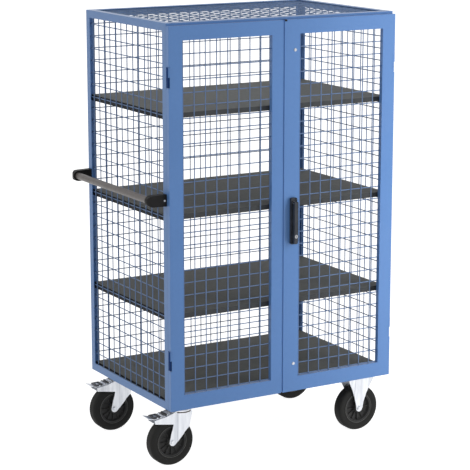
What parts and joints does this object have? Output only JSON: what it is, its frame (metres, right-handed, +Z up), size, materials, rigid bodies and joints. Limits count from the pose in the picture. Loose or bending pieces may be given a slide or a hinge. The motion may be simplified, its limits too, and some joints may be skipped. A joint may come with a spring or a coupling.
{
  "type": "shelf cart with doors",
  "caption": "Tall rolling cart: angle-steel frame with wire mesh walls, deck and shelves, mesh doors with a swing-handle rod lock, side push handle, swivel and fixed casters.",
  "frame": {"origin": "centre of the bounding box on the floor under the wheels", "axes": "+X along the front towards the fixed casters, +Y from the doors to the back, +Z up"},
  "size_m": [1.138, 0.741, 1.787],
  "materials": {
    "frame_paint": "satin powder coat",
    "door_paint": "satin powder coat",
    "net_paint": "satin powder coat on welded wire",
    "board_facing": "matt anthracite film on board",
    "dark_steel": "matt dark paint",
    "black_plastic": "moulded, fine grain",
    "grey_tube": "grey powder coat",
    "lock_grey": "moulded, dark grey",
    "zinc": "bright zinc plate",
    "tyre_rubber": "matt solid rubber",
    "rim_plastic": "moulded, dark"
  },
  "bodies": {
    "cart": {"base_frame": "frame_paint", "roof_frame": "frame_paint", "front_left_post": "frame_paint", "front_right_post": "frame_paint", "rear_left_post": "frame_paint", "rear_right_post": "frame_paint", "left_wall_net": "net_paint", "right_wall_net": "net_paint", "rear_wall_net": "net_paint", "roof_net": "net_paint", "deck_board": "board_facing", "lower_shelf": "board_facing", "middle_shelf": "board_facing", "upper_shelf": "board_facing", "lower_shelf_support": "dark_steel", "middle_shelf_support": "dark_steel", "upper_shelf_support": "dark_steel", "left_door_lower_hinge": "door_paint", "left_door_upper_hinge": "door_paint", "right_door_lower_hinge": "door_paint", "right_door_upper_hinge": "door_paint", "front_handle_bracket": "black_plastic", "rear_handle_bracket": "black_plastic", "push_handle_tube": "grey_tube", "front_swivel_plate": "zinc", "rear_swivel_plate": "zinc", "front_fixed_fork": "zinc", "front_fixed_axle": "zinc", "rear_fixed_fork": "zinc", "rear_fixed_axle": "zinc"},
    "left_door": {"left_door_frame": "door_paint", "left_door_net": "net_paint"},
    "right_door": {"right_door_frame": "door_paint", "right_door_net": "net_paint", "lock_dish": "lock_grey", "upper_rod_guide": "black_plastic", "lower_rod_guide": "black_plastic"},
    "lock_turning_parts": {"lock_spindle": "zinc", "lock_cam": "zinc"},
    "lever": {"lock_lever": "lock_grey"},
    "key_cylinder": {"lock_cylinder": "zinc"},
    "upper_rod": {"upper_lock_rod": "zinc"},
    "lower_rod": {"lower_lock_rod": "zinc"},
    "front_swivel": {"front_swivel_fork": "zinc", "front_swivel_axle": "zinc"},
    "front_swivel_wheel": {"front_swivel_rim": "rim_plastic", "front_swivel_tyre": "tyre_rubber"},
    "front_brake": {"front_brake_pedal": "zinc"},
    "rear_swivel": {"rear_swivel_fork": "zinc", "rear_swivel_axle": "zinc"},
    "rear_swivel_wheel": {"rear_swivel_rim": "rim_plastic", "rear_swivel_tyre": "tyre_rubber"},
    "rear_brake": {"rear_brake_pedal": "zinc"},
    "front_fixed_wheel": {"front_fixed_rim": "rim_plastic", "front_fixed_tyre": "tyre_rubber"},
    "rear_fixed_wheel": {"rear_fixed_rim": "rim_plastic", "rear_fixed_tyre": "tyre_rubber"}
  },
  "joints": [
    {"name": "left_door_hinge", "type": "hinge", "parent": "cart", "child": "left_door", "pos_m": [-0.482, -0.3325, 1.015], "axis": [0, 0, -1], "range_deg": [0, 180]},
    {"name": "right_door_hinge", "type": "hinge", "parent": "cart", "child": "right_door", "pos_m": [0.562, -0.3325, 1.015], "axis": [0, 0, 1], "range_deg": [0, 180]},
    {"name": "lock_turn", "type": "hinge", "parent": "right_door", "child": "lock_turning_parts", "pos_m": [0.077, -0.3395, 1.043], "axis": [0, -1, 0], "range_deg": [0, 90]},
    {"name": "lever_lift", "type": "hinge", "parent": "lock_turning_parts", "child": "lever", "pos_m": [0.077, -0.35952, 1.043], "axis": [-1, 0, 0], "range_deg": [0, 35]},
    {"name": "key_turn", "type": "hinge", "parent": "lever", "child": "key_cylinder", "pos_m": [0.077, -0.36, 0.908], "axis": [0, -1, 0], "range_deg": [0, 90]},
    {"name": "upper_rod_slide", "type": "slide", "parent": "right_door", "child": "upper_rod", "axis": [0, 0, -1], "range_m": [0, 0.018]},
    {"name": "lower_rod_slide", "type": "slide", "parent": "right_door", "child": "lower_rod", "axis": [0, 0, 1], "range_m": [0, 0.018]},
    {"name": "front_swivel_turn", "type": "hinge", "parent": "cart", "child": "front_swivel", "pos_m": [-0.3875, -0.2345, 0.229], "axis": [0, 0, 1], "continuous": true},
    {"name": "front_swivel_roll", "type": "hinge", "parent": "front_swivel", "child": "front_swivel_wheel", "pos_m": [-0.4365, -0.2345, 0.0975], "axis": [0, 1, 0], "continuous": true},
    {"name": "front_brake_press", "type": "hinge", "parent": "front_swivel", "child": "front_brake", "pos_m": [-0.44235, -0.2345, 0.21304], "axis": [0, -1, 0], "range_deg": [0, 8]},
    {"name": "rear_swivel_turn", "type": "hinge", "parent": "cart", "child": "rear_swivel", "pos_m": [-0.3875, 0.2855, 0.229], "axis": [0, 0, 1], "continuous": true},
    {"name": "rear_swivel_roll", "type": "hinge", "parent": "rear_swivel", "child": "rear_swivel_wheel", "pos_m": [-0.4365, 0.2855, 0.0975], "axis": [0, 1, 0], "continuous": true},
    {"name": "rear_brake_press", "type": "hinge", "parent": "rear_swivel", "child": "rear_brake", "pos_m": [-0.44235, 0.2855, 0.21304], "axis": [0, -1, 0], "range_deg": [0, 8]},
    {"name": "front_fixed_roll", "type": "hinge", "parent": "cart", "child": "front_fixed_wheel", "pos_m": [0.4675, -0.2345, 0.0975], "axis": [0, 1, 0], "continuous": true},
    {"name": "rear_fixed_roll", "type": "hinge", "parent": "cart", "child": "rear_fixed_wheel", "pos_m": [0.4675, 0.2855, 0.0975], "axis": [0, 1, 0], "continuous": true}
  ],
  "couplings": [
    {"joint": "upper_rod_slide", "follows": "lock_turn", "m_per_rad": 0.01145},
    {"joint": "lower_rod_slide", "follows": "lock_turn", "m_per_rad": 0.01145}
  ]
}
